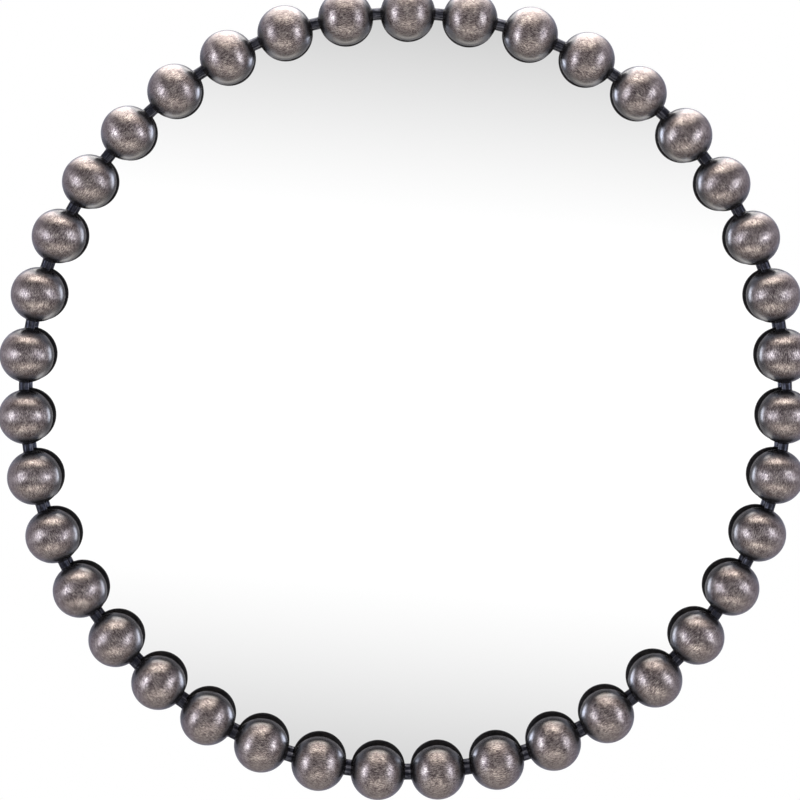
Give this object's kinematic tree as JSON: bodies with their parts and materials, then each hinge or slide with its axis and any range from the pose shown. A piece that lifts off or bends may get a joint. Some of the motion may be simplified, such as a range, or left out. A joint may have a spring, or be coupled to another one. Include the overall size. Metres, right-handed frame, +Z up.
{
  "type": "round wall mirror",
  "caption": "Round wall mirror framed by a ring of burnished hollow steel balls on a bent rod, hung by swinging D-rings.",
  "frame": {"origin": "the middle of the mirror on the wall's face, where the rubber feet touch it", "axes": "+Y towards the wall, +Z up, +X to the right as seen from the front"},
  "size_m": [0.7608, 0.0717, 0.7611],
  "materials": {
    "burnished_steel": "blackened and hand-burnished to a warm silver, satin",
    "blackened_steel": "blackened, satin",
    "silvered_glass": "polished, silvered",
    "mirror_adhesive": "cured mastic, satin",
    "black_fibreboard": "black-painted fibreboard, matt",
    "black_screw": "black oxide, satin",
    "zinc_steel": "zinc plated, bright",
    "zinc_screw": "zinc plated, bright",
    "rubber": "moulded, matt"
  },
  "bodies": {
    "mirror": {"ball_01": "burnished_steel", "ball_02": "burnished_steel", "ball_03": "burnished_steel", "ball_04": "burnished_steel", "ball_05": "burnished_steel", "ball_06": "burnished_steel", "ball_07": "burnished_steel", "ball_08": "burnished_steel", "ball_09": "burnished_steel", "ball_10": "burnished_steel", "ball_11": "burnished_steel", "ball_12": "burnished_steel", "ball_13": "burnished_steel", "ball_14": "burnished_steel", "ball_15": "burnished_steel", "ball_16": "burnished_steel", "ball_17": "burnished_steel", "ball_18": "burnished_steel", "ball_19": "burnished_steel", "ball_20": "burnished_steel", "ball_21": "burnished_steel", "ball_22": "burnished_steel", "ball_23": "burnished_steel", "ball_24": "burnished_steel", "ball_25": "burnished_steel", "ball_26": "burnished_steel", "ball_27": "burnished_steel", "ball_28": "burnished_steel", "ball_29": "burnished_steel", "ball_30": "burnished_steel", "ball_31": "burnished_steel", "ball_32": "burnished_steel", "ball_33": "burnished_steel", "ball_34": "burnished_steel", "ball_35": "burnished_steel", "ball_36": "burnished_steel", "ball_37": "burnished_steel", "ball_38": "burnished_steel", "ball_39": "burnished_steel", "ring_rod": "blackened_steel", "rim_band": "blackened_steel", "mirror_glass": "silvered_glass", "mirror_adhesive": "mirror_adhesive", "backing_board": "black_fibreboard", "rim_screws": "black_screw", "hanger_strap_left": "zinc_steel", "hanger_strap_right": "zinc_steel", "hanger_screws": "zinc_screw", "foot_top_left": "rubber", "foot_top_right": "rubber", "foot_bottom_right": "rubber", "foot_bottom_left": "rubber"},
    "left_ring": {"d_ring_left": "zinc_steel"},
    "right_ring": {"d_ring_right": "zinc_steel"}
  },
  "joints": [
    {"name": "d_ring_left_swing", "type": "hinge", "parent": "mirror", "child": "left_ring", "pos_m": [-0.2032, -0.00372, 0.19], "axis": [1, 0, 0], "range_deg": [0, 175.3]},
    {"name": "d_ring_right_swing", "type": "hinge", "parent": "mirror", "child": "right_ring", "pos_m": [0.2032, -0.00372, 0.19], "axis": [1, 0, 0], "range_deg": [0, 175.3]}
  ]
}
